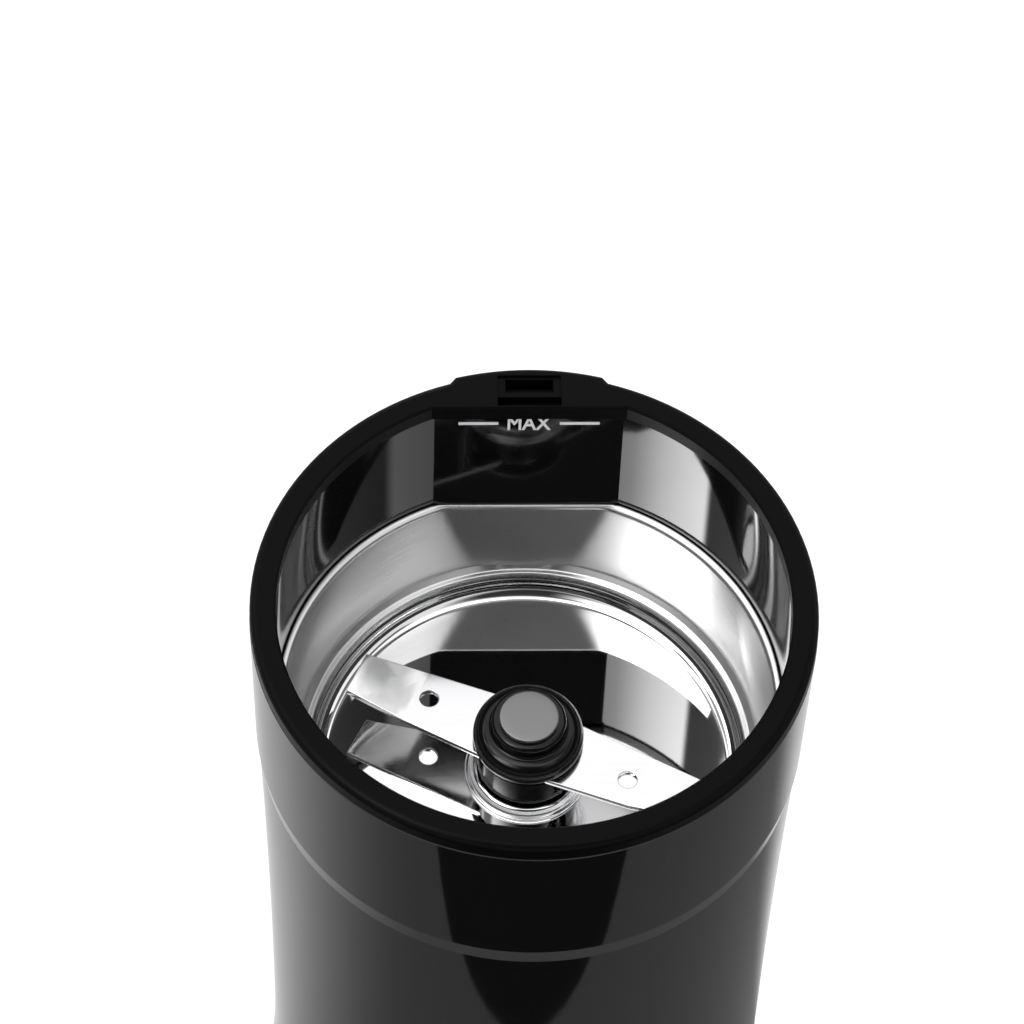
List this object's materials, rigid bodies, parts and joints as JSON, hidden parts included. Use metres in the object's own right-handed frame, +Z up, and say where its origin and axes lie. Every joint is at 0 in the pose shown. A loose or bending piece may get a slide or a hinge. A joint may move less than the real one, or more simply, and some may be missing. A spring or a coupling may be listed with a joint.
{
  "type": "electric spice grinder",
  "caption": "Cylindrical electric spice grinder without its lid: open hopper, steel bowl, spinning two-wing blade and a lid interlock at the back.",
  "frame": {"origin": "centre of the base on the surface it stands on, on the motor's axis", "axes": "+Z up along the motor's axis, -Y the front, +Y the back with the interlock tab, +X to the right seen from the front"},
  "size_m": [0.0904, 0.0911, 0.165],
  "materials": {
    "matte_black": "matte moulded black",
    "gloss_black": "polished piano black",
    "bowl_steel": "satin wall and polished floor",
    "boss_chrome": "bright",
    "blade_steel": "polished",
    "hub_plastic": "gloss black",
    "hub_steel": "satin",
    "seal_rubber": "soft black",
    "foot_rubber": "soft black",
    "bracket_alloy": "die cast",
    "lamination_steel": "stacked sheets",
    "copper": "enamelled winding",
    "shaft_steel": "ground",
    "bearing_bronze": "oil filled",
    "screw_steel": "zinc plated",
    "spring_steel": "bright drawn",
    "carbon": "graphite",
    "holder_brass": "bright",
    "fan_plastic": "natural nylon",
    "switch_plastic": "moulded",
    "button_plastic": "moulded",
    "terminal_plastic": "moulded",
    "base_plastic": "fine texture"
  },
  "bodies": {
    "housing": {"rim_ring": "matte_black", "collar_shell": "gloss_black", "motor_housing": "gloss_black", "hopper_sleeve": "gloss_black", "grinding_bowl": "bowl_steel", "bowl_gasket": "seal_rubber", "bowl_boss": "boss_chrome", "shaft_seal": "seal_rubber", "upper_bracket": "bracket_alloy", "lower_bracket": "bracket_alloy", "upper_bearing": "bearing_bronze", "lower_bearing": "bearing_bronze", "stator_stack": "lamination_steel", "field_coils": "copper", "motor_screws": "screw_steel", "motor_mounts": "seal_rubber", "brush_holders": "holder_brass", "carbon_brushes": "carbon", "brush_springs": "spring_steel", "switch_body": "switch_plastic", "base_plate": "base_plastic", "base_screws": "screw_steel", "rubber_feet": "foot_rubber", "cord_grommet": "seal_rubber", "terminal_block": "terminal_plastic", "switch_hanger": "bracket_alloy"},
    "rotor": {"motor_shaft": "shaft_steel", "armature_core": "lamination_steel", "armature_winding": "copper", "commutator": "copper", "cooling_fan": "fan_plastic", "blade": "blade_steel", "blade_collar": "hub_plastic", "blade_cap": "hub_plastic", "hub_disc": "hub_steel"},
    "interlock": {"interlock_plunger": "matte_black", "plunger_spring": "spring_steel"},
    "lever": {"switch_lever": "spring_steel"},
    "button": {"switch_button": "button_plastic"}
  },
  "joints": [
    {"name": "blade_spin", "type": "hinge", "parent": "housing", "child": "rotor", "pos_m": [0, 0, 0.1], "axis": [0, 0, 1], "continuous": true},
    {"name": "interlock_press", "type": "slide", "parent": "housing", "child": "interlock", "axis": [0, 0, -1], "range_m": [0, 0.0035], "stiffness_N_per_m": 300, "springref_m": -0.003, "deforming": ["plunger_spring"]},
    {"name": "switch_lever_tilt", "type": "hinge", "parent": "housing", "child": "lever", "pos_m": [0, 0.0281, 0.0946], "axis": [-1, 0, 0], "range_deg": [0, 17.5]},
    {"name": "switch_button_press", "type": "slide", "parent": "housing", "child": "button", "axis": [0, 0, -1], "range_m": [0, 0.00095]}
  ],
  "couplings": [
    {"joint": "switch_lever_tilt", "follows": "interlock_press", "rad_per_m": 87.258},
    {"joint": "switch_button_press", "follows": "interlock_press", "ratio": 0.2714}
  ]
}
